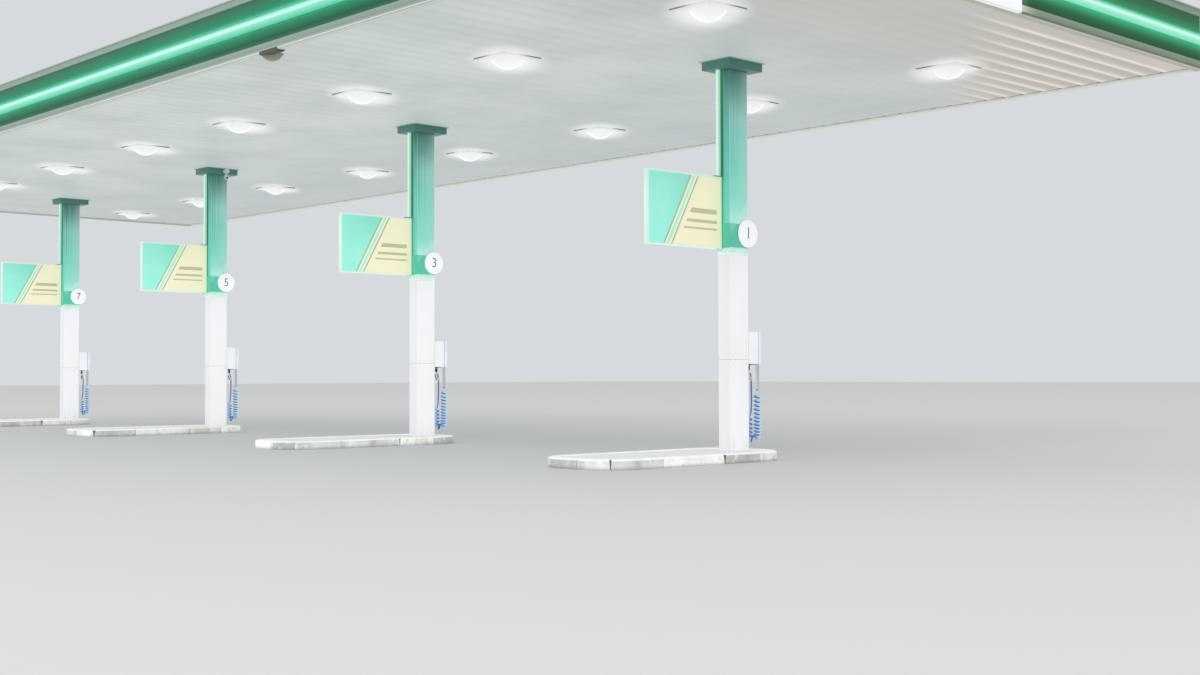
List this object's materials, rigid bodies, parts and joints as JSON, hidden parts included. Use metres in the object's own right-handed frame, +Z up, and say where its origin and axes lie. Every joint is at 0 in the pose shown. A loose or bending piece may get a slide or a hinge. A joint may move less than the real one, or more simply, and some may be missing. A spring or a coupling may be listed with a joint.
{
  "type": "filling station canopy",
  "caption": "Flat forecourt roof on a row of clad columns, with a lit fascia, hanging sign panels, numbered discs, air boxes and kerbed islands.",
  "frame": {"origin": "on the ground, at the middle of the canopy's plan", "axes": "+X along the length towards the first column, -Y the side the sign panels hang on, +Z up"},
  "size_m": [27.244, 9.576, 5.8],
  "materials": {
    "roof_sheet": "satin, coated ribbed sheet",
    "steel": "matte primer",
    "soffit_white": "satin, ribbed planks",
    "panel_green": "gloss, lit from the tube beside it",
    "pale_band": "satin",
    "light_tube": "lit lens",
    "lit_white": "lit sheet",
    "lamp": "satin frame round a lit lens",
    "dome": "matte",
    "fitting_white": "satin",
    "column_green": "gloss",
    "column_white": "satin",
    "sign_sheet": "lit sheet",
    "disc_white": "gloss",
    "box_white": "satin",
    "hose_blue": "satin",
    "concrete": "cast, worn"
  },
  "bodies": {
    "root": {"roof_sheet": "roof_sheet", "roof_frame": "steel", "posts": "steel", "soffit": "soffit_white", "fascia_front": "panel_green", "fascia_near": "panel_green", "fascia_back": "panel_green", "fascia_far": "panel_green", "pale_bands_front": "pale_band", "pale_bands_near": "pale_band", "pale_bands_back": "pale_band", "pale_bands_far": "pale_band", "light_tube_front": "light_tube", "light_tube_near": "light_tube", "light_tube_back": "light_tube", "light_tube_far": "light_tube", "end_sign_near": "lit_white", "end_sign_far": "lit_white", "downlights": "lamp", "soffit_fittings": "dome", "head_camera": "fitting_white", "upper_cladding_1": "column_green", "lower_cladding_1": "column_white", "sign_panel_1": "sign_sheet", "number_discs_1": "disc_white", "service_box_1": "box_white", "hose_coil_1": "hose_blue", "island_1": "concrete", "upper_cladding_2": "column_green", "lower_cladding_2": "column_white", "sign_panel_2": "sign_sheet", "number_discs_2": "disc_white", "service_box_2": "box_white", "hose_coil_2": "hose_blue", "island_2": "concrete", "upper_cladding_3": "column_green", "lower_cladding_3": "column_white", "sign_panel_3": "sign_sheet", "number_discs_3": "disc_white", "service_box_3": "box_white", "hose_coil_3": "hose_blue", "island_3": "concrete", "upper_cladding_4": "column_green", "lower_cladding_4": "column_white", "sign_panel_4": "sign_sheet", "number_discs_4": "disc_white", "service_box_4": "box_white", "hose_coil_4": "hose_blue", "island_4": "concrete"}
  },
  "joints": []
}
